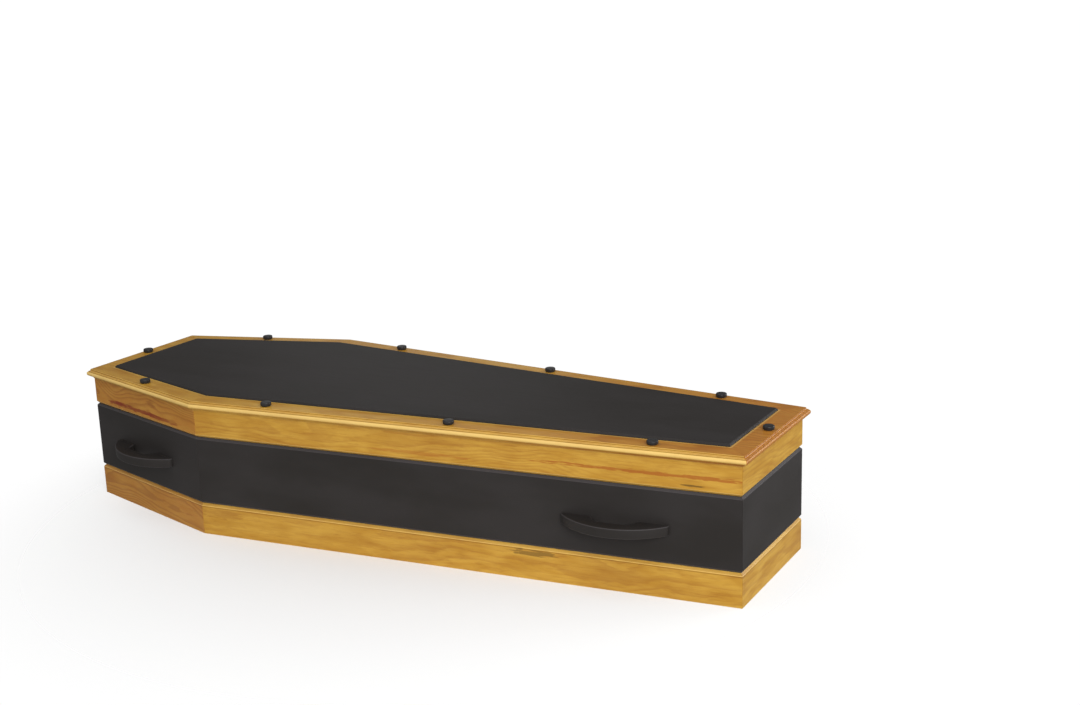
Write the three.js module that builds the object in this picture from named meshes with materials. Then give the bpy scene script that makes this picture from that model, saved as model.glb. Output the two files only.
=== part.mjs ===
// A full size shouldered wooden coffin: stained pine boards with satin black panels let in between them,
// a moulded lid with a black overlay panel, ten lid knobs and four black bow handles.
// Millimetres, +Z up, +X towards the foot end, origin on the ground under the middle of the case.
import * as THREE from 'three';
import { mergeVertices } from 'three/addons/utils/BufferGeometryUtils.js';

// Plan of the case, measured on the outer faces of the boards
const caseLength = 1950;
const headWidth = 414;
const shoulderWidth = 690;
const footWidth = 400;
const shoulderFromHead = 487;

// Courses of boards, from the ground up
const wallThickness = 18;
const plinthHeight = 85;
const sidePanelHeight = 183;
const rimHeight = 74;
const woodChamfer = 6;
const panelChamfer = 5;

// Floor board between the plinth boards
const floorThickness = 15;
const floorChamfer = 1.5;

// Lid board and the steps of its moulded edge, each counted from the one before
const lidThickness = 26;
const lidFlatOverhang = 7;
const quirkDrop = 2.2;
const coveOut = 3;
const coveDrop = 3;
const filletOut = 1.8;
const filletDrop = 1.8;
const noseOut = 4.2;
const noseUpperDrop = 5;
const noseLowerDrop = 6;
const noseReturn = 3.4;
const lidFootSet = 2;

// Black overlay panel on the lid
const overlayInset = 47;
const overlayThickness = 6;
const overlayBevel = 4;

// Lid knobs
const knobDiameter = 28;
const knobHeight = 11;
const knobNeckDiameter = 22;
const knobInset = 14;
const knobFromLongSideEnd = 216;

// Bow handles
const handleLength = 265;
const handleHeight = 24;
const handleReach = 65;
const handleEndReach = 8;
const handleRounding = 3;
const fingerGapLength = 119;
const fingerGapReach = 28;
const fingerGapSlant = 16;
const handleAboveCentre = -7;
const headHandleFromHead = 244;
const footHandleFromFoot = 306;

// Clearance between pieces that touch
const jointGap = 0.3;

// Faceting of round forms
const knobSides = 20;
const arcSteps = 4;
const handleArcSteps = 12;

const timber = { color: 0xb9803c, roughness: 0.42, metalness: 0 };
const blackPaint = { color: 0x353230, roughness: 0.45, metalness: 0 };
const blackKnob = { color: 0x121212, roughness: 0.3, metalness: 0 };

const coffin = new THREE.Group();

function addPiece(name, geometry, finish, parent = coffin) {
  geometry.deleteAttribute('normal');
  geometry.deleteAttribute('uv');
  const closed = mergeVertices(geometry, 1e-4);
  closed.computeVertexNormals();
  const piece = new THREE.Mesh(closed, new THREE.MeshStandardMaterial(finish));
  piece.name = name;
  parent.add(piece);
  return piece;
}

// The six corners of the case, counterclockwise from above, starting at the head on the near side
const headX = -caseLength / 2;
const shoulderX = headX + shoulderFromHead;
const footX = caseLength / 2;
const corners = [
  new THREE.Vector2(headX, -headWidth / 2),
  new THREE.Vector2(shoulderX, -shoulderWidth / 2),
  new THREE.Vector2(footX, -footWidth / 2),
  new THREE.Vector2(footX, footWidth / 2),
  new THREE.Vector2(shoulderX, shoulderWidth / 2),
  new THREE.Vector2(headX, headWidth / 2),
];

// Each side runs from its corner to the next one; outward is to the right of that run
const sideNames = ['near_shoulder', 'near_long', 'foot', 'far_long', 'far_shoulder', 'head'];
const sides = corners.map((start, index) => {
  const end = corners[(index + 1) % corners.length];
  const along = end.clone().sub(start);
  const length = along.length();
  along.normalize();
  const outward = new THREE.Vector2(along.y, -along.x);
  return { name: sideNames[index], index, start, end, length, along, outward };
});

// Corner of the outline after both its sides have moved outward by the given distance
function movedCorner(index, distance) {
  const before = sides[(index + sides.length - 1) % sides.length];
  const after = sides[index % sides.length];
  const bisector = before.outward.clone().add(after.outward);
  const stretch = distance / (0.5 * bisector.lengthSq());
  return after.start.clone().addScaledVector(bisector, stretch);
}

// Sine of half the inside angle at a corner, which turns a gap across a mitre into one along the side
function mitreSine(index) {
  const before = sides[(index + sides.length - 1) % sides.length];
  const after = sides[index % sides.length];
  return Math.cos(before.along.angleTo(after.along) / 2);
}

// A board of the given section along one side, with both its ends mitred to meet its neighbours.
// The section has x as the depth behind the outer face and y as the height.
function mitredBoard(section, side) {
  const geometry = new THREE.ExtrudeGeometry(section, { depth: 1, bevelEnabled: false });
  const position = geometry.attributes.position;
  const endIndex = (side.index + 1) % sides.length;
  for (let i = 0; i < position.count; i += 1) {
    const depth = position.getX(i);
    const height = position.getY(i);
    const atEnd = position.getZ(i) > 0.5;
    const corner = movedCorner(atEnd ? endIndex : side.index, -depth);
    const clearance = jointGap / 2 / mitreSine(atEnd ? endIndex : side.index);
    corner.addScaledVector(side.along, atEnd ? -clearance : clearance);
    position.setXYZ(i, corner.x, corner.y, height);
  }
  return geometry;
}

// Section of a board with its outer long edges cut off at 45 degrees
function boardSection(bottom, top, lowerChamfer, upperChamfer) {
  const section = new THREE.Shape();
  section.moveTo(0, bottom + lowerChamfer);
  if (lowerChamfer > 0) section.lineTo(lowerChamfer, bottom);
  section.lineTo(wallThickness, bottom);
  section.lineTo(wallThickness, top);
  section.lineTo(upperChamfer, top);
  if (upperChamfer > 0) section.lineTo(0, top - upperChamfer);
  section.closePath();
  return section;
}

// A six sided plate from a profile of [distance outside the case face, height] pairs that runs from
// the underside to the top; the plate closes to its own middle below and above.
function sixSidedPlate(profile) {
  const reach = Math.min(headWidth, footWidth) / 2;
  const points = [new THREE.Vector2(0, profile[0][1])];
  profile.forEach(([outset, height]) => points.push(new THREE.Vector2(reach + outset, height)));
  points.push(new THREE.Vector2(0, profile[profile.length - 1][1]));
  const geometry = new THREE.LatheGeometry(points, corners.length);
  const position = geometry.attributes.position;
  for (let turn = 0; turn <= corners.length; turn += 1) {
    points.forEach((point, row) => {
      const onAxis = row === 0 || row === points.length - 1;
      const corner = onAxis ? new THREE.Vector2(0, 0)
        : movedCorner(turn % corners.length, point.x - reach);
      position.setXYZ(turn * points.length + row, corner.x, corner.y, point.y);
    });
  }
  return geometry;
}

// Quarter of an ellipse between two profile points, bulging (convex) or hollow (concave)
function quarterCurve(from, to, convex) {
  const curve = [];
  for (let step = 1; step <= arcSteps; step += 1) {
    const angle = (step / arcSteps) * Math.PI / 2;
    const first = convex ? Math.sin(angle) : 1 - Math.cos(angle);
    const second = convex ? 1 - Math.cos(angle) : Math.sin(angle);
    curve.push([from[0] + (to[0] - from[0]) * first, from[1] + (to[1] - from[1]) * second]);
  }
  return curve;
}

// Case walls: plinth, black side panel and rim on each of the six sides
const plinthTop = plinthHeight;
const sidePanelTop = plinthTop + sidePanelHeight;
const caseTop = sidePanelTop + rimHeight;
const halfGap = jointGap / 2;

const plinthSection = boardSection(0, plinthTop - halfGap, 0, woodChamfer);
const sidePanelSection = boardSection(plinthTop + halfGap, sidePanelTop - halfGap, panelChamfer, panelChamfer);
const rimSection = boardSection(sidePanelTop + halfGap, caseTop - halfGap, woodChamfer, 0);

for (const side of sides) {
  addPiece(`plinth_${side.name}`, mitredBoard(plinthSection, side), timber);
  addPiece(`side_panel_${side.name}`, mitredBoard(sidePanelSection, side), blackPaint);
  addPiece(`rim_${side.name}`, mitredBoard(rimSection, side), timber);
}

// Floor board, flush with the bottom of the plinth
const floorEdge = -(wallThickness + jointGap);
const floorProfile = [
  [floorEdge - floorChamfer, 0],
  [floorEdge, floorChamfer],
  [floorEdge, floorThickness],
];
addPiece('floor_board', sixSidedPlate(floorProfile), timber);

// Lid board: rests on the rim, its edge worked from the underside up to the flat top
const lidBottom = caseTop + halfGap;
const lidTop = caseTop + lidThickness;

function lidProfile() {
  const flatEdge = [lidFlatOverhang, lidTop];
  const quirk = [flatEdge[0], flatEdge[1] - quirkDrop];
  const coveEnd = [quirk[0] + coveOut, quirk[1] - coveDrop];
  const filletEdge = [coveEnd[0] + filletOut, coveEnd[1]];
  const filletFoot = [filletEdge[0], filletEdge[1] - filletDrop];
  const noseTip = [filletFoot[0] + noseOut, filletFoot[1] - noseUpperDrop];
  const noseEnd = [noseTip[0] - noseReturn, noseTip[1] - noseLowerDrop];
  const lidFoot = [lidFootSet, lidBottom];
  const downwards = [
    flatEdge,
    quirk,
    ...quarterCurve(quirk, coveEnd, false),
    filletEdge,
    filletFoot,
    ...quarterCurve(filletFoot, noseTip, true),
    ...quarterCurve(noseTip, noseEnd, false),
    ...quarterCurve(noseEnd, lidFoot, true).slice(0, -1),
    lidFoot,
  ];
  return downwards.reverse();
}
addPiece('lid_board', sixSidedPlate(lidProfile()), timber);

// Black overlay panel, with a bevelled upper edge
const overlayBottom = lidTop + jointGap;
const overlayTop = lidTop + overlayThickness;
const overlayProfile = [
  [-overlayInset, overlayBottom],
  [-overlayInset, overlayTop - overlayBevel],
  [-overlayInset - overlayBevel, overlayTop],
];
addPiece('lid_panel', sixSidedPlate(overlayProfile), blackPaint);

// Lid knobs, over the walls that they hold the lid to
function knobProfile() {
  const radius = knobDiameter / 2;
  const neck = knobNeckDiameter / 2;
  const crown = 0.35 * knobHeight;
  const points = [new THREE.Vector2(0, 0), new THREE.Vector2(neck, 0)];
  points.push(new THREE.Vector2(radius, 0.25 * knobHeight));
  for (let step = 0; step <= arcSteps; step += 1) {
    const angle = (step / arcSteps) * Math.PI / 2;
    const onAxis = step === arcSteps;
    const across = onAxis ? 0 : radius * (0.55 + 0.45 * Math.cos(angle));
    points.push(new THREE.Vector2(across, knobHeight - crown + crown * Math.sin(angle)));
  }
  return points;
}

function knobDistances(side) {
  const middle = side.length / 2;
  if (!side.name.endsWith('long')) return [middle];
  return [knobFromLongSideEnd, middle, side.length - knobFromLongSideEnd];
}

let knobNumber = 0;
for (const side of sides) {
  for (const distance of knobDistances(side)) {
    knobNumber += 1;
    const geometry = new THREE.LatheGeometry(knobProfile(), knobSides);
    geometry.rotateX(Math.PI / 2);
    const place = side.start.clone()
      .addScaledVector(side.along, distance)
      .addScaledVector(side.outward, -knobInset);
    geometry.translate(place.x, place.y, lidTop + jointGap);
    addPiece(`lid_knob_${String(knobNumber).padStart(2, '0')}`, geometry, blackKnob);
  }
}

// Bow handle: a segment of a circle in plan, with two solid feet and a finger gap behind the bow
function handleGeometry() {
  const half = handleLength / 2;
  const rise = handleReach - handleEndReach;
  const radius = (half * half + rise * rise) / (2 * rise);
  const centreY = handleReach - radius;
  const spread = Math.asin(half / radius);
  const gapHalf = fingerGapLength / 2;
  const innerHalf = gapHalf - fingerGapSlant;
  const shape = new THREE.Shape();
  shape.moveTo(-half, 0);
  shape.lineTo(-gapHalf, 0);
  shape.lineTo(-innerHalf - fingerGapSlant / 3, fingerGapReach * 0.7);
  shape.quadraticCurveTo(-innerHalf, fingerGapReach, -innerHalf + fingerGapSlant, fingerGapReach);
  shape.lineTo(innerHalf - fingerGapSlant, fingerGapReach);
  shape.quadraticCurveTo(innerHalf, fingerGapReach, innerHalf + fingerGapSlant / 3, fingerGapReach * 0.7);
  shape.lineTo(gapHalf, 0);
  shape.lineTo(half, 0);
  shape.lineTo(half, handleEndReach);
  shape.absarc(0, centreY, radius, Math.PI / 2 - spread, Math.PI / 2 + spread, false);
  shape.closePath();
  const geometry = new THREE.ExtrudeGeometry(shape, {
    depth: handleHeight - 2 * handleRounding,
    curveSegments: handleArcSteps,
    bevelThickness: handleRounding,
    bevelSize: handleRounding,
    bevelOffset: -handleRounding,
    bevelSegments: 2,
  });
  geometry.translate(0, 0, handleRounding - handleHeight / 2);
  return geometry;
}

const handleCentre = plinthTop + sidePanelHeight / 2 + handleAboveCentre;
const handlePlaces = {
  near_shoulder: () => headHandleFromHead,
  near_long: (side) => side.length - footHandleFromFoot,
  far_long: () => footHandleFromFoot,
  far_shoulder: (side) => side.length - headHandleFromHead,
};

for (const side of sides) {
  const placeOn = handlePlaces[side.name];
  if (placeOn) {
    const geometry = handleGeometry();
    geometry.rotateZ(Math.atan2(-side.along.y, -side.along.x));
    const place = side.start.clone()
      .addScaledVector(side.along, placeOn(side))
      .addScaledVector(side.outward, jointGap);
    geometry.translate(place.x, place.y, handleCentre);
    addPiece(`handle_${side.name}`, geometry, blackPaint);
  }
}

export default coffin;
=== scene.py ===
import math

import bpy
import numpy as np
from mathutils import Matrix, Vector


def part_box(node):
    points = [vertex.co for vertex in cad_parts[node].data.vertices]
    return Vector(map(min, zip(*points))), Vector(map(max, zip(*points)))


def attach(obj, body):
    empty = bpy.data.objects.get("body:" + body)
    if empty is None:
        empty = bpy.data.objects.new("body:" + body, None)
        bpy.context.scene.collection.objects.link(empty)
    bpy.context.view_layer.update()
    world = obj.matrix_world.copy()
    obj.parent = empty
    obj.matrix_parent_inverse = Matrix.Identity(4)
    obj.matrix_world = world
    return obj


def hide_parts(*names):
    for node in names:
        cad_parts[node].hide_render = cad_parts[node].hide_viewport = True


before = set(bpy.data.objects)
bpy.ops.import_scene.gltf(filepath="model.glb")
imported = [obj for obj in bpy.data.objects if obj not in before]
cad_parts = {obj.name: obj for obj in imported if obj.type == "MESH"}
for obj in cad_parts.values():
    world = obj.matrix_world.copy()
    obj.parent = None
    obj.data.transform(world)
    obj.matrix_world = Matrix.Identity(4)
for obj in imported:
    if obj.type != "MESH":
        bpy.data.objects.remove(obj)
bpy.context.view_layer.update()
print("frame loaded,", len(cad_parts), "nodes")

mm = 0.001


# Plan of the case, read from the frame

jointGap = 0.3 * mm  # clearance between touching pieces


sideNames = ["near_shoulder", "near_long", "foot", "far_long", "far_shoulder", "head"]


def planSides(corners):
    # Length, direction and outward normal of the side after each corner, and the sine of half the
    # inside angle at each corner
    spans = np.roll(corners, -1, axis=0) - corners
    lengths = np.linalg.norm(spans, axis=1)
    along = spans / lengths[:, None]
    outward = np.stack([along[:, 1], -along[:, 0]], axis=1)
    mitreSine = np.sqrt((1 + (along * np.roll(along, 1, axis=0)).sum(axis=1)) / 2)
    return lengths, along, outward, mitreSine


def mirrored(nearHalf):
    return np.concatenate([nearHalf, nearHalf[::-1] * [1, -1]])


def readPlan():
    # The six corners counterclockwise from above, from the boxes of the mitred plinth boards. A board
    # stops half a joint gap short of each mitre, which is put back along the board that was read.
    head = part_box("plinth_head")
    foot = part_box("plinth_foot")
    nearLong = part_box("plinth_near_long")
    read = np.array([
        [head[0][0], head[0][1]],
        [nearLong[0][0], nearLong[0][1]],
        [foot[1][0], foot[0][1]],
    ])
    _, along, _, mitreSine = planSides(mirrored(read))
    clearance = jointGap / 2 / mitreSine[:3, None]
    nearHalf = read + clearance * [along[5], -along[1], -along[2]]
    return mirrored(nearHalf)


corners = readPlan()
cornerCount = len(corners)
sideLengths, sideAlong, sideOutward, mitreSine = planSides(corners)
cornerBisector = sideOutward + np.roll(sideOutward, 1, axis=0)
cornerStretch = 2 / (cornerBisector ** 2).sum(axis=1)


def movedCorner(index, distance):
    # corner + bisector * distance / (half the bisector's squared length), for an array of distances
    step = np.asarray(distance)[..., None] * cornerBisector[index % cornerCount]
    return corners[index % cornerCount] + step * cornerStretch[index % cornerCount]


# Meshes from numpy surfaces

def roundedLoop(points, cuts, steps=4, hold=0.5 * mm):
    # Each corner of a closed outline becomes a quadratic curve (1-t)^2 A + 2t(1-t) P + t^2 C, where A and C
    # lie the cut's length along its two edges, with one more point beyond each to keep the flats flat.
    # The second value is a mark for each point: +1 on an outer corner, a painted highlight along the arris, -1
    # in an inner one, painted shade in the crease, 0 on flats.
    points = np.asarray(points, float)
    cuts = np.broadcast_to(np.asarray(cuts, float), len(points))[:, None]
    toLast = np.roll(points, 1, axis=0) - points
    toNext = np.roll(points, -1, axis=0) - points
    toLast /= np.linalg.norm(toLast, axis=1)[:, None]
    toNext /= np.linalg.norm(toNext, axis=1)[:, None]
    turn = toNext[:, 0] * toLast[:, 1] - toNext[:, 1] * toLast[:, 0]
    t = np.linspace(0, 1, steps + 1)[None, :, None]
    first = (points + toLast * cuts)[:, None]
    last = (points + toNext * cuts)[:, None]
    curve = (1 - t) ** 2 * first + 2 * t * (1 - t) * points[:, None] + t ** 2 * last
    before = (points + toLast * (cuts + hold))[:, None]
    after = (points + toNext * (cuts + hold))[:, None]
    loop = np.concatenate([before, curve, after], axis=1)
    mark = np.concatenate([[0], 4 * t[0, :, 0] * (1 - t[0, :, 0]), [0]])
    wear = np.sign(turn)[:, None] * mark[None]
    return loop.reshape(-1, 2), wear.reshape(-1)


def gridFaces(rows, columns, wrapColumns=True, wrapRows=False):
    # Quads between the neighbouring rows and columns of a grid, numbered row by row
    lastRow = rows if wrapRows else rows - 1
    lastColumn = columns if wrapColumns else columns - 1
    row, column = np.meshgrid(np.arange(lastRow), np.arange(lastColumn), indexing="ij")
    below = row * columns
    above = (row + 1) % rows * columns
    beside = (column + 1) % columns
    return np.stack([below + column, below + beside, above + beside, above + column], axis=-1).reshape(-1, 4)


def closedMesh(name, grid, attributes, smoothAngle=40):
    # grid is rows x columns x 3: its columns close on themselves and each end row gets a flat cap.
    # The sign of the summed volume of the quads' corner tetrahedra says which way the faces point.
    rows, columns = grid.shape[:2]
    vertices = grid.reshape(-1, 3)
    quads = gridFaces(rows, columns)
    a, b, c, d = (vertices[quads[:, k]] for k in range(4))
    volume = np.einsum("ij,ij->i", a, np.cross(b, c) + np.cross(c, d)).sum()
    for row, sign in ((0, -1), (rows - 1, 1)):
        cap = grid[row]
        middle = cap.mean(axis=0)
        fan = np.cross(cap, np.roll(cap, -1, axis=0))
        volume += sign * (fan @ middle).sum()
    caps = [list(range(columns))[::-1], list(range((rows - 1) * columns, rows * columns))]
    faces = quads.tolist() + caps
    if volume < 0:
        faces = [face[::-1] for face in faces]
    mesh = bpy.data.meshes.new(name)
    mesh.from_pydata(vertices, [], faces)
    mesh.polygons.foreach_set("use_smooth", np.arange(len(faces)) < len(quads))
    mesh.set_sharp_from_angle(angle=math.radians(smoothAngle))
    for key, values in attributes.items():
        kind = "FLOAT_VECTOR" if values.ndim == 3 else "FLOAT"
        field = "vector" if kind == "FLOAT_VECTOR" else "value"
        layer = mesh.attributes.new(key, kind, "POINT")
        layer.data.foreach_set(field, values.astype(np.float32).ravel())
    mesh.update()
    return mesh


def addPiece(name, mesh, material, node):
    piece = bpy.data.objects.new(name, mesh)
    bpy.context.scene.collection.objects.link(piece)
    mesh.materials.append(material)
    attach(piece, "root")
    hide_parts(node)
    return piece


# Shader maths as Python expressions

class Wire:
    # A socket's value; + - * / ** between wires and numbers add Math nodes
    def __init__(self, graph, socket):
        self.graph = graph
        self.socket = socket

    def math(self, operation, *others):
        values = {index: other for index, other in enumerate((self,) + others)}
        return self.graph.node("ShaderNodeMath", {"operation": operation}, values)

    def flipped(self, operation, other):
        return self.graph.node("ShaderNodeMath", {"operation": operation}, {0: other, 1: self})

    def __add__(self, other):
        return self.math("ADD", other)

    def __radd__(self, other):
        return self.flipped("ADD", other)

    def __sub__(self, other):
        return self.math("SUBTRACT", other)

    def __rsub__(self, other):
        return self.flipped("SUBTRACT", other)

    def __mul__(self, other):
        return self.math("MULTIPLY", other)

    def __rmul__(self, other):
        return self.flipped("MULTIPLY", other)

    def __truediv__(self, other):
        return self.math("DIVIDE", other)

    def __pow__(self, other):
        return self.math("POWER", other)

    def ramp(self, low, high, toLow=0.0, toHigh=1.0):
        settings = {"interpolation_type": "SMOOTHSTEP"}
        values = {"Value": self, "From Min": low, "From Max": high, "To Min": toLow, "To Max": toHigh}
        return self.graph.node("ShaderNodeMapRange", settings, values)


class Graph:
    # The node tree of one material
    def __init__(self, name):
        self.material = bpy.data.materials.new(name)
        self.material.use_nodes = True
        self.nodes = self.material.node_tree.nodes
        self.links = self.material.node_tree.links
        self.shader = self.nodes["Principled BSDF"]

    def put(self, socket, value):
        if isinstance(value, Wire):
            self.links.new(value.socket, socket)
        else:
            socket.default_value = value

    def node(self, kind, settings=None, values=None, output=0):
        made = self.nodes.new(kind)
        for key, value in (settings or {}).items():
            if key == "stops":
                self.setStops(made.color_ramp, value)
            else:
                setattr(made, key, value)
        for key, value in (values or {}).items():
            self.put(made.inputs[key], value)
        return Wire(self, made.outputs[output])

    def setStops(self, ramp, stops):
        while len(ramp.elements) > len(stops):
            ramp.elements.remove(ramp.elements[-1])
        while len(ramp.elements) < len(stops):
            ramp.elements.new(1.0)
        for element, (place, colour) in zip(ramp.elements, stops):
            element.position = place
            element.color = colour

    def attribute(self, name, output="Vector"):
        return self.node("ShaderNodeAttribute", {"attribute_name": name}, output=output)

    def vector(self, operation, first, second):
        return self.node("ShaderNodeVectorMath", {"operation": operation}, {0: first, 1: second})

    def parts(self, vector):
        return [self.node("ShaderNodeSeparateXYZ", values={0: vector}, output=index) for index in range(3)]

    def join(self, x, y, z):
        return self.node("ShaderNodeCombineXYZ", values={0: x, 1: y, 2: z})

    def noise(self, vector, scale, detail=2.0, roughness=0.5, distortion=0.0):
        values = {"Vector": vector, "Scale": scale, "Detail": detail, "Roughness": roughness}
        values["Distortion"] = distortion
        return self.node("ShaderNodeTexNoise", {"noise_dimensions": "3D"}, values)

    def mix(self, factor, first, second, blend="MIX"):
        settings = {"data_type": "RGBA", "blend_type": blend, "clamp_factor": True}
        return self.node("ShaderNodeMix", settings, {0: factor, 6: first, 7: second}, output=2)

    def bump(self, height, strength, distance):
        return self.node("ShaderNodeBump", values={"Height": height, "Strength": strength, "Distance": distance})


def colour(red, green, blue):
    # sRGB 0 to 255 as linear light
    srgb = np.array([red, green, blue]) / 255
    linear = np.where(srgb <= 0.04045, srgb / 12.92, ((srgb + 0.055) / 1.055) ** 2.4)
    return (*linear.tolist(), 1.0)


# Honey stained pine. The grain attribute holds each board's own place: along, across and into the board.

pine = {
    "light": colour(193, 151, 60),
    "gold": colour(176, 131, 44),
    "brown": colour(136, 82, 26),
    "ruddy": colour(166, 102, 38),
    "line": colour(84, 44, 14),
    "rubAndHighlight": colour(228, 195, 120),
    "resin": colour(118, 40, 12),
    "rust": colour(150, 78, 24),
    "smudge": colour(70, 50, 22),
    "ringSpacing": 9 * mm,
    "ringContrast": 0.3,
    "roughness": 0.38,
    "specular": 0.16,
    "coat": 0.06,
    "coatRoughness": 0.2,
}

# Marks on single boards: centre and reach as [along, height above the ground], colour and strength
pineMarks = {
    "rim_near_shoulder": [
        ([0.225, 0.2875], [0.120, 0.0070], "resin", 0.8),
        ([0.112, 0.2860], [0.045, 0.0080], "resin", 0.75),
        ([0.335, 0.2850], [0.080, 0.0065], "resin", 0.65),
        ([0.296, 0.3190], [0.022, 0.0120], "brown", 0.6),
    ],
    "rim_near_long": [
        ([0.670, 0.2900], [0.150, 0.0050], "rust", 0.4),
        ([1.260, 0.3040], [0.300, 0.0052], "rust", 0.75),
        ([1.354, 0.2835], [0.034, 0.0026], "smudge", 0.7),
    ],
    "plinth_near_long": [
        ([0.958, 0.0690], [0.060, 0.0090], "smudge", 0.55),
        ([0.062, 0.0610], [0.070, 0.0140], "brown", 0.4),
    ],
}


def softOval(place, centre, reach, wobble):
    # 1 in the middle of an oval, falling smoothly to 0 at its wavering edge:
    # (along - a)^2 / ra^2 + (height - h)^2 / rh^2 + wobble
    along, height, _ = place
    first = (along - centre[0]) / reach[0]
    second = (height - centre[1]) / reach[1]
    return (first * first + second * second + wobble).ramp(1.0, 0.4)


def pineMaterial(name, settings=pine, marks=()):
    g = Graph(name)
    grain = g.attribute("grain")
    tone = g.attribute("tone", "Fac")
    wear = g.attribute("wear", "Fac")
    along, across, depth = g.parts(grain)

    # Growth rings are cylinders round a wandering pith, cut by the board's face
    wander = g.noise(g.join(along * 1.4, across * 3.0, depth * 3.0), 1.7, 2.0) - 0.5
    ripple = g.noise(g.join(along * 5.0, across * 24.0, depth * 24.0), 1.8, 3.0) - 0.5
    fromPithAcross = across + wander * 0.22
    fromPithDeep = depth + 0.06 + wander * 0.05
    radius = (fromPithAcross * fromPithAcross + fromPithDeep * fromPithDeep) ** 0.5 + ripple * 0.012
    ring = (radius / settings["ringSpacing"]).math("FRACT")
    lateWood = ring.ramp(0.3, 0.86) * (1 - ring.ramp(0.88, 1.0))

    # Stain takes unevenly, in soft clouds along the board, and the fibres catch it as fine streaks
    cloud = g.noise(g.join(along * 9.0, across * 34.0, depth * 20.0), 1.0, 3.0, 0.5, 0.4)
    mottle = g.noise(g.join(along * 30.0, across * 120.0, depth * 60.0), 1.0, 3.0, 0.55, 0.5)
    patch = g.noise(g.join(along * 2.6, across * 9.0, depth * 9.0), 1.0, 2.0)
    streak = g.noise(g.join(along * 14.0, across * 330.0, depth * 120.0), 1.0, 3.0, 0.6)
    fibre = g.noise(g.join(along * 60.0, across * 1500.0, depth * 700.0), 1.0, 3.0, 0.6)

    body = g.mix(cloud.ramp(0.3, 0.7), settings["light"], settings["gold"])
    body = g.mix(mottle.ramp(0.46, 0.76) * 0.24, body, settings["brown"])
    body = g.mix(patch.ramp(0.46, 0.72) * 0.2, body, settings["brown"])
    body = g.mix(lateWood * settings["ringContrast"] * patch.ramp(0.3, 0.6, 0.35, 1.0), body, settings["brown"])
    body = g.mix(streak.ramp(0.5, 0.7) * 0.26, body, settings["brown"])
    # This attribute reddens and darkens a board: stain on most boards, painted shade on the lid's border towards
    # the foot
    body = g.mix(tone, body, g.mix(mottle.ramp(0.3, 0.7, 0.9, 0.6), body, settings["ruddy"]))
    body = g.mix(lateWood * tone.ramp(0.3, 0.8) * 0.4, body, settings["brown"])
    place = g.parts(g.attribute("place"))
    for centre, reach, shade, strength in marks:
        wobble = (mottle - 0.5) * 3.0 + (streak - 0.5) * 3.4
        body = g.mix(softOval(place, centre, reach, wobble) * strength, body, settings[shade])
    # Negative marks darken towards the line colour: in the lid's quirks, just below the plinth's chamfer, and as
    # a painted shadow where the lid's undercut meets the case. Positive marks lighten as painted highlights on
    # arrises, chamfers and the lid's nose, and as a lighter band beside the overlay.
    body = g.mix((0 - wear).ramp(0.1, 1.0) * 0.8, body, settings["line"])
    body = g.mix(wear.ramp(0.1, 1.0) * (0.65 + mottle * 0.4), body, settings["rubAndHighlight"])

    g.put(g.shader.inputs["Base Color"], body)
    g.put(g.shader.inputs["Roughness"], settings["roughness"] + (streak - 0.5) * 0.16 + (cloud - 0.5) * 0.12)
    g.shader.inputs["Specular IOR Level"].default_value = settings["specular"]
    g.shader.inputs["Coat Weight"].default_value = settings["coat"]
    g.shader.inputs["Coat Roughness"].default_value = settings["coatRoughness"]
    height = fibre * 0.5 + lateWood * 0.35 + streak * 0.5
    g.put(g.shader.inputs["Normal"], g.bump(height, 0.2, 0.25 * mm))
    return g.material


# Satin black paint on smooth board, with the last faint trace of the brush along each piece

blackPaint = {
    "base": colour(38, 35, 33),
    "wornAndHighlight": colour(102, 98, 102),
    "roughness": 0.5,
    "specular": 0.14,
}


def paintMaterial(name, settings=blackPaint):
    g = Graph(name)
    grain = g.attribute("grain")
    wear = g.attribute("wear", "Fac")
    along, across, depth = g.parts(grain)
    peel = g.noise(grain, 900.0, 2.0)
    brush = g.noise(g.join(along * 9.0, across * 420.0, depth * 420.0), 1.0, 3.0, 0.55)
    haze = g.noise(g.join(along * 2.0, across * 5.0, depth * 5.0), 1.8, 3.0)
    base = g.mix(haze.ramp(0.3, 0.7) * 0.06, settings["base"], settings["wornAndHighlight"])
    # Painted highlight: the chamfers, bevel and arrises, and the handles' rounded edges, are lightened towards
    # the lighter grey
    base = g.mix(wear.ramp(0.1, 1.0) * 0.5, base, settings["wornAndHighlight"])
    g.shader.inputs["Specular IOR Level"].default_value = settings["specular"]
    g.put(g.shader.inputs["Base Color"], base)
    rough = settings["roughness"] + (haze - 0.5) * 0.12 + (brush - 0.5) * 0.1
    g.put(g.shader.inputs["Roughness"], rough)
    g.put(g.shader.inputs["Normal"], g.bump(peel * 0.5 + brush * 0.5, 0.16, 0.12 * mm))
    return g.material


# Moulded black knobs

knobFinish = {
    "base": colour(34, 33, 34),
    "dust": colour(70, 68, 68),
    "roughness": 0.36,
    "specular": 0.28,
}


def knobMaterial(name, settings=knobFinish):
    g = Graph(name)
    place = g.node("ShaderNodeTexCoord", output="Object")
    grit = g.noise(place, 1600.0, 2.0)
    smear = g.noise(place, 130.0, 3.0)
    base = g.mix(smear.ramp(0.45, 0.75) * 0.16, settings["base"], settings["dust"])
    g.put(g.shader.inputs["Base Color"], base)
    g.shader.inputs["Specular IOR Level"].default_value = settings["specular"]
    g.put(g.shader.inputs["Roughness"], settings["roughness"] + (smear - 0.5) * 0.25)
    g.put(g.shader.inputs["Normal"], g.bump(grit, 0.2, 0.08 * mm))
    return g.material


stainedPine = pineMaterial("stained_pine")
markedPine = {board: pineMaterial(f"stained_pine_{board}", marks=marks) for board, marks in pineMarks.items()}
satinBlack = paintMaterial("satin_black")
knobBlack = knobMaterial("knob_black")
print("materials made")


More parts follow.
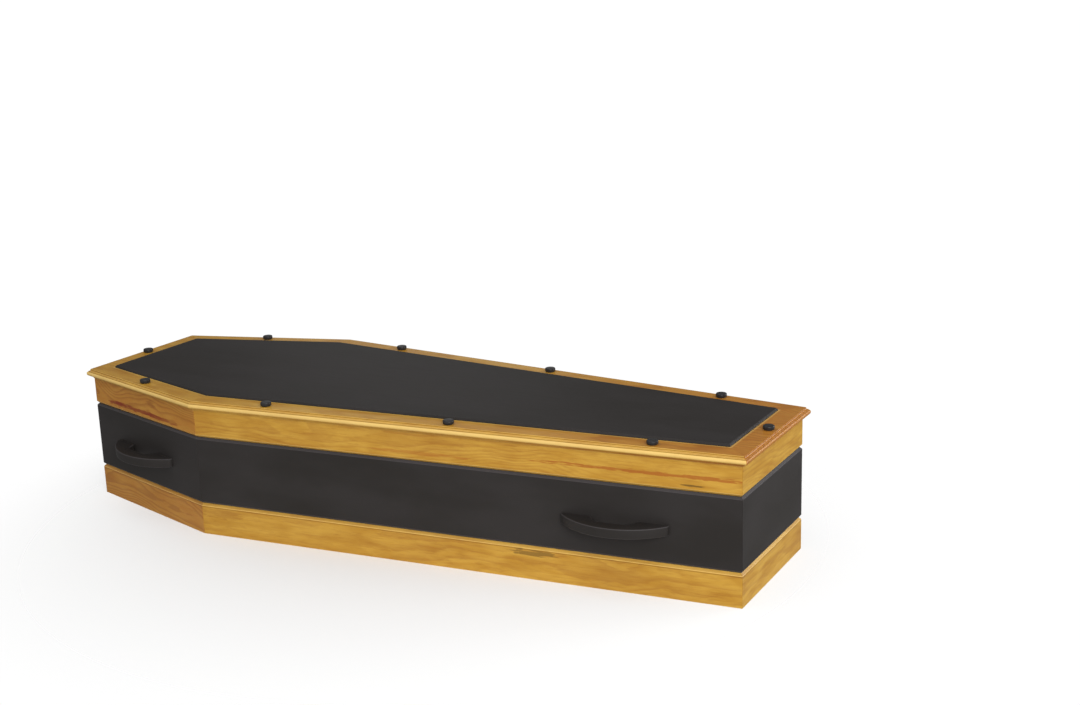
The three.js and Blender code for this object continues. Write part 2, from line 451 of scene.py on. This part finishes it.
# Boards: one section carried from mitre to mitre

boards = {
    "arris": 0.9 * mm,
    "chamferArris": 0.7 * mm,
    "mitreArris": 0.7 * mm,
    "stationSpacing": 60 * mm,
    "woodChamfer": 6 * mm,
    "panelChamfer": 5 * mm,
    "thickness": 18 * mm,
    "tones": {"near_shoulder": 0.75, "near_long": 0.12, "foot": 0.0, "far_long": 0.15,
              "far_shoulder": 0.6, "head": 0.55},
}


def boardSection(bottom, top, lowerChamfer, upperChamfer, quirk, chamferHighlight):
    # Closed outline of [depth behind the face, height] with rounded corners, and its marks: a painted highlight
    # along each chamfer and its arrises and, where there is a quirk, a fine dark line just below where the
    # chamfer ends
    points = [[0, bottom + lowerChamfer]]
    cuts = [boards["chamferArris"] if lowerChamfer else boards["arris"]]
    if lowerChamfer:
        points.append([lowerChamfer, bottom])
        cuts.append(boards["chamferArris"])
    points += [[boards["thickness"], bottom], [boards["thickness"], top]]
    cuts += [boards["arris"]] * 2
    if upperChamfer:
        points += [[upperChamfer, top], [0, top - upperChamfer]]
        cuts += [boards["chamferArris"]] * 2
    else:
        points.append([0, top])
        cuts.append(boards["arris"])
    section, wear = roundedLoop(points, cuts)
    depth = section[:, 0]
    wear = np.maximum(wear, chamferHighlight * (depth > 0.5 * mm) * (depth < max(lowerChamfer, upperChamfer) + 0.5 * mm))
    if quirk:
        line = top - upperChamfer - np.array([1.6, 2.3, 3.3, 4.4]) * mm
        section = np.concatenate([section, np.stack([0 * line, line], axis=-1)])
        wear = np.concatenate([wear, quirk * np.array([0, 1, 1, 0])])
    return section, wear


def boardGrid(index, section):
    # P(t, k) = start_k + (end_k - start_k) t, where start_k and end_k are the mitred corners at the depth of
    # section point k; the two end stations draw in by the mitre's arris
    depth, height = section[:, 0], section[:, 1]
    middle = section.mean(axis=0)
    length = sideLengths[index]
    count = max(4, int(length / boards["stationSpacing"]))
    arris = boards["mitreArris"]
    inner = np.linspace(arris + 1 * mm, length - arris - 1 * mm, count)
    setBack = np.concatenate([[0, arris], inner, [length - arris, length]])
    shrink = np.zeros(len(setBack))
    shrink[[0, -1]] = arris
    extent = np.abs(section - middle).max(axis=0)
    drawn = section[None] - (section - middle)[None] / extent * shrink[:, None, None]
    startGap = jointGap / 2 / mitreSine[index]
    endGap = jointGap / 2 / mitreSine[(index + 1) % cornerCount]
    start = movedCorner(index, -drawn[..., 0]) + sideAlong[index] * startGap
    end = movedCorner(index + 1, -drawn[..., 0]) - sideAlong[index] * endGap
    t = (setBack / length)[:, None, None]
    plan = start + (end - start) * t
    along = (plan - corners[index]) @ sideAlong[index]
    grid = np.concatenate([plan, drawn[..., 1:]], axis=-1)
    grain = np.stack([along, drawn[..., 1], drawn[..., 0]], axis=-1)
    return grid, grain


def makeCourse(course, section, wear, material, tones, seed):
    # One board on each side; each board's grain is shifted to its own part of the wood
    shifts = np.random.default_rng(seed).uniform(-1, 1, (cornerCount, 3)) * [9.0, 0.05, 0.012]
    height = section[:, 1]
    for index, side in enumerate(sideNames):
        grid, place = boardGrid(index, section)
        grain = place - [0, (height.min() + height.max()) / 2, 0] + shifts[index]
        count = grid.shape[:2]
        attributes = {
            "grain": grain,
            "place": place,
            "tone": np.full(count, tones.get(side, 0.0)),
            "wear": np.broadcast_to(wear, count),
        }
        mesh = closedMesh(f"{course}_{side}_board", grid, attributes)
        chosen = markedPine.get(f"{course}_{side}", material)
        addPiece(f"{course}_{side}_board", mesh, chosen, f"{course}_{side}")


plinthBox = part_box("plinth_head")
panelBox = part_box("side_panel_head")
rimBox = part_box("rim_head")

# Painted highlights along the chamfers of each course, and a fine dark line below the plinth's chamfer
section, wear = boardSection(plinthBox[0][2], plinthBox[1][2], 0, boards["woodChamfer"], -0.6, 0.3)
makeCourse("plinth", section, wear, stainedPine, boards["tones"], 11)
chamfer = boards["panelChamfer"]
section, wear = boardSection(panelBox[0][2], panelBox[1][2], chamfer, chamfer, 0, 0.5)
makeCourse("side_panel", section, wear, satinBlack, {}, 12)
section, wear = boardSection(rimBox[0][2], rimBox[1][2], boards["woodChamfer"], 0, 0, 0.3)
makeCourse("rim", section, wear, stainedPine, boards["tones"], 13)
print("boards made")


# Six sided plates: floor, lid and overlay

plates = {
    "cornerRadius": 1.6 * mm,
    "cornerSteps": 5,
    "longSpacing": 30 * mm,
    "endSpacing": 1.6 * mm,
}


def outlineRing(outset, radius, spacings):
    # The outline moved outward by each outset in turn, its corners arcs of the given radius, its sides
    # straight runs with the given spacing; also each point's side number and distance along it
    outset = np.asarray(outset, float)
    rings, sideOf, alongOf = [], [], []
    for index in range(cornerCount):
        previous = sideOutward[(index - 1) % cornerCount]
        own = sideOutward[index]
        first = math.atan2(previous[1], previous[0])
        sweep = (math.atan2(own[1], own[0]) - first) % (2 * math.pi)
        angle = first + sweep * np.linspace(0, 1, plates["cornerSteps"] + 1)
        facing = np.stack([np.cos(angle), np.sin(angle)], axis=-1)
        centre = movedCorner(index, outset - radius)
        arc = centre[:, None] + radius * facing[None]
        following = sideOutward[index] * radius
        runStart = centre + following
        runEnd = movedCorner(index + 1, outset - radius) + following
        count = max(4, int(sideLengths[index] / spacings[index]))
        t = np.concatenate([[0.6 * mm / sideLengths[index]], np.linspace(0, 1, count + 1)[1:-1],
                            [1 - 0.6 * mm / sideLengths[index]]])
        run = runStart[:, None] + (runEnd - runStart)[:, None] * t[None, :, None]
        rings.append(np.concatenate([arc, run], axis=1))
        sideOf.append(np.full(arc.shape[1] + len(t), index))
        alongOf.append(np.concatenate([np.zeros(arc.shape[1]), t * sideLengths[index]]))
    return np.concatenate(rings, axis=1), np.concatenate(sideOf), np.concatenate(alongOf)


def plateGrid(profile, radius, spacings):
    # profile rows are [outset, height]; the result is rows x ring points x 3
    ring, sideOf, alongOf = outlineRing(profile[:, 0], radius, spacings)
    height = np.broadcast_to(profile[:, 1][:, None, None], ring.shape[:2] + (1,))
    return np.concatenate([ring, height], axis=-1), sideOf, alongOf


def openProfile(points, cuts, steps=4, hold=0.5 * mm):
    # The rounded form of an open run of points: its ends stay where they are
    loop, wear = roundedLoop(points, cuts, steps, hold)
    skip = steps + 3
    middle = slice(skip, len(loop) - skip)
    profile = np.concatenate([[points[0]], loop[middle], [points[-1]]])
    return profile, np.concatenate([[0], wear[middle], [0]])


def plateMesh(name, profile, wear, radius, spacings, tone=0.0, shift=(0, 0, 0)):
    grid, sideOf, alongOf = plateGrid(profile, radius, spacings)
    attributes = {
        "grain": grid + np.asarray(shift),
        "place": grid,
        "tone": np.full(grid.shape[:2], tone),
        "wear": np.broadcast_to(wear[:, None], grid.shape[:2]),
    }
    return closedMesh(name, grid, attributes)


wideSpacings = [plates["longSpacing"]] * cornerCount

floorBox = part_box("floor_board")
floorEdge = -(boards["thickness"] + jointGap)
floorPoints = [
    [floorEdge - 20 * mm, floorBox[0][2]],
    [floorEdge - 1.5 * mm, floorBox[0][2]],
    [floorEdge, floorBox[0][2] + 1.5 * mm],
    [floorEdge, floorBox[1][2]],
    [floorEdge - 20 * mm, floorBox[1][2]],
]
profile, wear = openProfile(floorPoints, 0.5 * mm)
mesh = plateMesh("floor_plate", profile, wear, plates["cornerRadius"], wideSpacings, 0.1, (3.1, 0, 0.02))
addPiece("floor_plate", mesh, stainedPine, "floor_board")


# Lid board with its moulded edge, and the overlay panel on it

overlay = {"inset": 47 * mm, "bevel": 4 * mm, "arris": 0.8 * mm, "depth": 30 * mm, "wear": 0.4}

lid = {
    "flatOverhang": 7 * mm,
    "quirkDrop": 2.2 * mm,
    "coveOut": 3 * mm,
    "coveDrop": 3 * mm,
    "filletOut": 1.8 * mm,
    "filletDrop": 1.8 * mm,
    "noseOut": 4.2 * mm,
    "noseUpperDrop": 5 * mm,
    "noseLowerDrop": 6 * mm,
    "noseReturn": 3.4 * mm,
    "footSet": 2 * mm,
    "border": 70 * mm,
    "arcSteps": 9,
    "rippleHeight": 0.32 * mm,
    "noseHighlight": 0.78,
}


def quarterCurve(start, end, convex):
    # Points of a quarter ellipse from start (left out) to end, bulging or hollow
    angle = np.linspace(0, math.pi / 2, lid["arcSteps"] + 1)[1:]
    first = np.sin(angle) if convex else 1 - np.cos(angle)
    second = 1 - np.cos(angle) if convex else np.sin(angle)
    start, end = np.asarray(start), np.asarray(end)
    return start + (end - start) * np.stack([first, second], axis=-1)


def lidProfile(bottom, top):
    # Underside, undercut, nose, fillet, cove, quirk and flat top, in that order, and a mark: negative for dark
    # lines in the quirks and for a painted shadow where the undercut meets the case, positive for painted
    # highlights on the arrises, cove and nose and for a lighter band beside the overlay
    flat = np.array([lid["flatOverhang"], top])
    quirk = flat - [0, lid["quirkDrop"]]
    coveEnd = quirk + [lid["coveOut"], -lid["coveDrop"]]
    filletEdge = coveEnd + [lid["filletOut"], 0]
    filletFoot = filletEdge - [0, lid["filletDrop"]]
    noseTip = filletFoot + [lid["noseOut"], -lid["noseUpperDrop"]]
    noseEnd = noseTip - [lid["noseReturn"], lid["noseLowerDrop"]]
    foot = np.array([lid["footSet"], bottom])
    soft = 0.5 * mm
    runs = [
        ([[-lid["border"], top], [-overlay["inset"] - 1 * mm, top], [-overlay["inset"] + 2.5 * mm, top],
          [-overlay["inset"] + 8 * mm, top]], [0, 0.55, 0.55, 0]),
        ([flat - [3 * mm, 0], flat - [soft, 0], flat - [soft * 0.3, soft * 0.3], flat - [0, soft]],
         [0, 0.3, 1, 0.3]),
        ([quirk + [0, 0.3 * mm], quirk + [0.05 * mm, 0]], [-0.6, -1]),
        (quarterCurve(quirk, coveEnd, False), [-0.3, 0.1] + [0.4] * (lid["arcSteps"] - 2)),
        ([filletEdge - [soft, 0], filletEdge - [soft * 0.3, soft * 0.3], filletEdge - [0, soft]],
         [0.4, 1, 0.4]),
        ([filletFoot + [0, 0.2 * mm], filletFoot + [0.05 * mm, 0]], [-0.7, -1]),
        (quarterCurve(filletFoot, noseTip, True), [-0.2, 0.5] + [lid["noseHighlight"]] * (lid["arcSteps"] - 2)),
        (quarterCurve(noseTip, noseEnd, False), np.linspace(lid["noseHighlight"], 0, lid["arcSteps"])),
        # Painted shadow where the undercut meets the case
        (quarterCurve(noseEnd, foot, True), [0] * (lid["arcSteps"] - 1) + [-0.6]),
        ([[-2 * mm, bottom], [-lid["border"], bottom]], [0, 0]),
    ]
    points = np.concatenate([np.asarray(run, float).reshape(-1, 2) for run, mark in runs])
    marks = np.concatenate([np.asarray(mark, float) for run, mark in runs])
    return points[::-1], marks[::-1]


def endGrainRipple(grid, sideOf, alongOf, tipOutset):
    # Torn end grain at the head and foot: ridges of four sine waves along the edge, tallest at the nose
    # and fading out towards the corners and the flat top
    isEnd = (sideOf == sideNames.index("foot")) | (sideOf == sideNames.index("head"))
    span = np.where(sideOf == sideNames.index("foot"), sideLengths[2], sideLengths[5])
    fade = np.clip(alongOf / (12 * mm), 0, 1) * np.clip((span - alongOf) / (12 * mm), 0, 1)
    waves = [(610, 0.3, 0.4), (935, 1.7, 0.3), (1430, 4.1, 0.2), (262, 2.2, 0.35)]
    ridge = sum(size * np.sin(alongOf * pitch + phase) for pitch, phase, size in waves)
    ridge = ridge - ridge.max()
    height = grid[:, 0, 2]
    nose = np.exp(-((height - tipOutset) / (7 * mm)) ** 2)
    push = lid["rippleHeight"] * nose[:, None] * (ridge * fade * isEnd)[None]
    grid[..., :2] += push[..., None] * sideOutward[sideOf][None]
    return grid


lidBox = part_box("lid_board")
profile, wear = lidProfile(lidBox[0][2], lidBox[1][2])
lidSpacings = [plates["endSpacing"] if name in ("foot", "head") else plates["longSpacing"]
               for name in sideNames]
grid, sideOf, alongOf = plateGrid(profile, plates["cornerRadius"], lidSpacings)
grid = endGrainRipple(grid, sideOf, alongOf, lidBox[1][2] - 12 * mm)
atEnd = (sideOf == sideNames.index("foot")) | (sideOf == sideNames.index("head"))
onEdge = profile[:, 0] > lid["flatOverhang"] - 1 * mm
endGrain = atEnd[None] * onEdge[:, None]
# Painted shade: the lid's flat border is darkened and reddened towards the foot, standing in for the sheen that
# lights its middle; the end grain is toned darker as its own colour
paintedShadeFootward = np.clip((grid[..., 0] - 0.1) / 0.8, 0, 1)
edgeGrain = np.stack(np.broadcast_arrays(alongOf + 0.37 * sideOf, profile[:, :1], profile[:, 1:]), axis=-1)
boardGrain = grid - [0, 0, lidBox[1][2]] + [1.7, 0, 0.004]
attributes = {
    "grain": np.where(atEnd[None, :, None], boardGrain, edgeGrain),
    "place": grid,
    "tone": 0.1 + 0.8 * paintedShadeFootward * ~onEdge[:, None] + 0.9 * endGrain,
    # The end grain keeps its dark lines but drops the painted highlights
    "wear": np.where(endGrain, np.minimum(wear[:, None], 0.0), wear[:, None]),
}
addPiece("lid_plate", closedMesh("lid_plate", grid, attributes), stainedPine, "lid_board")


# Overlay panel with a soft bevel

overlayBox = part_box("lid_panel")
overlayPoints = [
    [-overlay["inset"] - overlay["depth"], overlayBox[0][2]],
    [-overlay["inset"], overlayBox[0][2]],
    [-overlay["inset"], overlayBox[1][2] - overlay["bevel"]],
    [-overlay["inset"] - overlay["bevel"], overlayBox[1][2]],
    [-overlay["inset"] - overlay["depth"], overlayBox[1][2]],
]
profile, wear = openProfile(overlayPoints, overlay["arris"])
# The bevel's arrises get a painted highlight, at 0.4 of full strength
mesh = plateMesh("overlay_panel", profile, overlay["wear"] * wear, 2 * plates["cornerRadius"], wideSpacings)
addPiece("overlay_panel", mesh, satinBlack, "lid_panel")
print("lid made")


# Lid knobs

knob = {
    "segments": 64,
    "foot": [[0.8, 0], [0.8, 0.07], [0.94, 0.17], [0.985, 0.24], [1, 0.32]],  # shares of radius and height
    "flatShare": 0.74,
    "crownShare": 0.26,
    "crownSteps": 10,
}


def knobMesh(name, low, high):
    # Radius and height of a profile carried round the axis: foot, waist, upright side and a crown that is
    # a quarter ellipse down to a small flat
    radius = (high[0] - low[0]) / 2
    height = high[2] - low[2]
    angle = np.linspace(0, math.pi / 2, knob["crownSteps"] + 1)
    crown = knob["crownShare"] * height
    across = radius * (knob["flatShare"] + (1 - knob["flatShare"]) * np.cos(angle))
    up = height - crown + crown * np.sin(angle)
    lower = np.array(knob["foot"]) * [radius, height]
    profile = np.concatenate([lower, np.stack([across, up], axis=-1)])
    turn = np.linspace(0, 2 * math.pi, knob["segments"], endpoint=False)
    centre = [(low[0] + high[0]) / 2, (low[1] + high[1]) / 2]
    x = centre[0] + profile[:, :1] * np.cos(turn)
    y = centre[1] + profile[:, :1] * np.sin(turn)
    z = np.broadcast_to(low[2] + profile[:, 1:], x.shape)
    return closedMesh(name, np.stack([x, y, z], axis=-1), {}, 50)


knobNodes = sorted(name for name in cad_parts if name.startswith("lid_knob_"))
for node in knobNodes:
    low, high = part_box(node)
    piece = node.replace("lid_knob", "knob")
    addPiece(piece, knobMesh(piece, low, high), knobBlack, node)
print("knobs made")


# Bow handles

handle = {
    "reach": 65 * mm,
    "endReach": 8 * mm,
    "length": 265 * mm,
    "gapLength": 119 * mm,
    "gapReach": 28 * mm,
    "gapSlant": 16 * mm,
    "rounding": 2.6 * mm,
    "roundingSteps": 6,
    "outerPoints": 72,
}


def handleOutline():
    # Plan of the bow as [along, proud of the panel]: a circle's arc outside, two feet, and a shallow gap
    # with slanted, rounded ends behind
    half = handle["length"] / 2
    rise = handle["reach"] - handle["endReach"]
    radius = (half ** 2 + rise ** 2) / (2 * rise)
    spread = math.asin(half / radius)
    angle = np.linspace(-spread, spread, handle["outerPoints"])
    arc = np.stack([-radius * np.sin(angle), handle["reach"] - radius + radius * np.cos(angle)], axis=-1)
    gapHalf = handle["gapLength"] / 2
    innerHalf = gapHalf - handle["gapSlant"]
    feet = np.array([
        [-half, 0], [-gapHalf, 0], [-innerHalf, handle["gapReach"]],
        [innerHalf, handle["gapReach"]], [gapHalf, 0], [half, 0],
    ])
    inner, _ = openProfile(feet, np.array([1, 3, 12, 12, 3, 1]) * mm, 8)
    return np.concatenate([inner, arc])


def handleMesh(name, low, high, index, centreAlong):
    # The outline at a set of heights: full size in the middle and drawn in along its normals by
    # r(1 - cos a) near the top and bottom, but never off the panel that it stands on
    outline = handleOutline()
    ahead = np.roll(outline, -1, axis=0) - np.roll(outline, 1, axis=0)
    normal = np.stack([ahead[:, 1], -ahead[:, 0]], axis=-1)
    normal /= np.linalg.norm(normal, axis=1)[:, None]
    normal[outline[:, 1] < 1e-6, 1] = 0
    angle = np.linspace(math.pi / 2, 0, handle["roundingSteps"] + 1)
    inset = handle["rounding"] * (1 - np.cos(angle))
    rise = (high[2] - low[2]) / 2 - handle["rounding"] * (1 - np.sin(angle))
    inset = np.concatenate([inset, inset[::-1]])
    height = np.concatenate([-rise, rise[::-1]])
    plan = outline[None] - normal[None] * inset[:, None, None]
    plan[..., 1] = np.maximum(plan[..., 1], 0)
    middle = (low[2] + high[2]) / 2
    foot = corners[index] + sideAlong[index] * centreAlong + sideOutward[index] * jointGap
    place = foot + plan[..., :1] * -sideAlong[index] + plan[..., 1:] * sideOutward[index]
    z = np.broadcast_to(height[:, None, None] + middle, plan.shape[:2] + (1,))
    grid = np.concatenate([place, z], axis=-1)
    grain = np.concatenate([plan, z], axis=-1)
    # Painted highlight along the rounded top and bottom edges, and a faint lightening all over
    mark = np.concatenate([np.sin(2 * angle), np.sin(2 * angle[::-1])])
    attributes = {
        "grain": grain,
        "wear": np.broadcast_to(0.14 + 0.4 * mark[:, None], grid.shape[:2]),
    }
    return closedMesh(name, grid, attributes, 60)


for index, side in enumerate(sideNames):
    node = f"handle_{side}"
    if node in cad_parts:
        low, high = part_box(node)
        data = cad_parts[node].data
        points = np.empty(len(data.vertices) * 3)
        data.vertices.foreach_get("co", points)
        along = (points.reshape(-1, 3)[:, :2] - corners[index]) @ sideAlong[index]
        centreAlong = (along.min() + along.max()) / 2
        piece = f"bow_handle_{side}"
        mesh = handleMesh(piece, low, high, index, centreAlong)
        addPiece(piece, mesh, satinBlack, node)
print("handles made")


# Stage, lights and camera

stage = {
    "floorSize": 24.0,
    "floor": colour(243, 243, 243),
    "fadeStart": 0.2,
    "fadeEnd": 1.5,
    "backdrop": 1.02,
    "ambientFront": 0.68,
    "ambientBack": 0.18,
    "front": (0.35, -0.87, 0.34),
}


def makeFloor():
    # A pale floor that fades into the white surround away from the object
    half = stage["floorSize"] / 2
    mesh = bpy.data.meshes.new("studio_floor")
    ground = [(-half, -half, 0), (half, -half, 0), (half, half, 0), (-half, half, 0)]
    mesh.from_pydata(ground, [], [(0, 1, 2, 3)])
    floor = bpy.data.objects.new("studio_floor", mesh)
    bpy.context.scene.collection.objects.link(floor)
    g = Graph("pale_floor")
    g.shader.inputs["Base Color"].default_value = stage["floor"]
    g.shader.inputs["Roughness"].default_value = 0.8
    g.shader.inputs["Specular IOR Level"].default_value = 0.0
    x, y, _ = g.parts(g.node("ShaderNodeTexCoord", output=3))
    far = ((x * x + y * y) ** 0.5).ramp(stage["fadeStart"], stage["fadeEnd"])
    clear = g.node("ShaderNodeBsdfTransparent")
    blend = g.node("ShaderNodeMixShader", values={0: far, 2: clear})
    g.links.new(g.shader.outputs["BSDF"], blend.socket.node.inputs[1])
    g.links.new(blend.socket, g.nodes["Material Output"].inputs["Surface"])
    mesh.materials.append(g.material)


def makeWorld():
    # A white surround for the eye, and a softer even light for the object
    world = bpy.data.worlds.new("studio")
    world.use_nodes = True
    nodes = world.node_tree.nodes
    links = world.node_tree.links
    light = nodes["Background"]
    light.inputs["Color"].default_value = (1, 1, 1, 1)
    place = nodes.new("ShaderNodeTexCoord")
    facing = nodes.new("ShaderNodeVectorMath")
    facing.operation = "DOT_PRODUCT"
    facing.inputs[1].default_value = stage["front"]
    spread = nodes.new("ShaderNodeMapRange")
    spread.interpolation_type = "SMOOTHSTEP"
    spread.inputs["From Min"].default_value = -0.7
    spread.inputs["From Max"].default_value = 0.7
    spread.inputs["To Min"].default_value = stage["ambientBack"]
    spread.inputs["To Max"].default_value = stage["ambientFront"]
    links.new(place.outputs["Generated"], facing.inputs[0])
    links.new(facing.outputs["Value"], spread.inputs["Value"])
    links.new(spread.outputs[0], light.inputs["Strength"])
    seen = nodes.new("ShaderNodeBackground")
    seen.inputs["Color"].default_value = (1, 1, 1, 1)
    seen.inputs["Strength"].default_value = stage["backdrop"]
    path = nodes.new("ShaderNodeLightPath")
    blend = nodes.new("ShaderNodeMixShader")
    links.new(path.outputs["Is Camera Ray"], blend.inputs[0])
    links.new(light.outputs[0], blend.inputs[1])
    links.new(seen.outputs[0], blend.inputs[2])
    links.new(blend.outputs[0], nodes["World Output"].inputs["Surface"])
    bpy.context.scene.world = world


def makeLight(name, place, target, size, power, tint=(1, 1, 1)):
    data = bpy.data.lights.new(name, "AREA")
    data.shape = "RECTANGLE"
    data.size, data.size_y = size
    data.energy = power
    data.color = tint
    lamp = bpy.data.objects.new(name, data)
    lamp.location = place
    direction = np.subtract(target, place)
    lamp.rotation_mode = "QUATERNION"
    lamp.rotation_quaternion = Vector(direction).to_track_quat("-Z", "Y")
    bpy.context.scene.collection.objects.link(lamp)


makeFloor()
makeWorld()
makeLight("key_right", (3.6, -3.4, 2.3), (0.1, 0, 0.2), (2.6, 2.0), 192)
makeLight("foot_side", (3.0, 2.4, 1.0), (0.95, 0, 0.2), (2.0, 2.0), 62)
makeLight("overhead", (-0.4, -0.9, 3.0), (0, 0, 0.3), (3.0, 2.0), 16)
makeLight("back_sheen", (-2.5, 3.7, 1.55), (0, -0.25, 0.37), (1.8, 1.0), 3)

view = {
    "azimuth": 29.22,
    "elevation": 14.49,
    "roll": -1.84,
    "distance": 4.036,
    "across": 0.2973,
    "up": 0.4455,
    "focalPixels": 1496.2,
    "imageWidth": 1080,
    "sensor": 36.0,
}


def makeCamera():
    # The camera looks back along its own axis; its place is the distance along that axis, moved across
    # and up in the picture's plane
    azimuth = math.radians(view["azimuth"])
    elevation = math.radians(view["elevation"])
    roll = math.radians(view["roll"])
    back = Vector((math.sin(azimuth) * math.cos(elevation), -math.cos(azimuth) * math.cos(elevation),
                   math.sin(elevation)))
    level = Vector((math.cos(azimuth), math.sin(azimuth), 0))
    upright = back.cross(level)
    right = level * math.cos(roll) + upright * math.sin(roll)
    up = upright * math.cos(roll) - level * math.sin(roll)
    data = bpy.data.cameras.new("photo_camera")
    data.sensor_width = view["sensor"]
    data.lens = view["focalPixels"] / view["imageWidth"] * view["sensor"]
    data.clip_end = 60
    camera = bpy.data.objects.new("photo_camera", data)
    turn = Matrix((right, up, back)).transposed().to_4x4()
    place = back * view["distance"] + right * view["across"] + up * view["up"]
    camera.matrix_world = Matrix.Translation(place) @ turn
    bpy.context.scene.collection.objects.link(camera)
    bpy.context.scene.camera = camera


makeCamera()
bpy.context.scene.view_settings.view_transform = "Standard"
print("stage, lights and camera made")
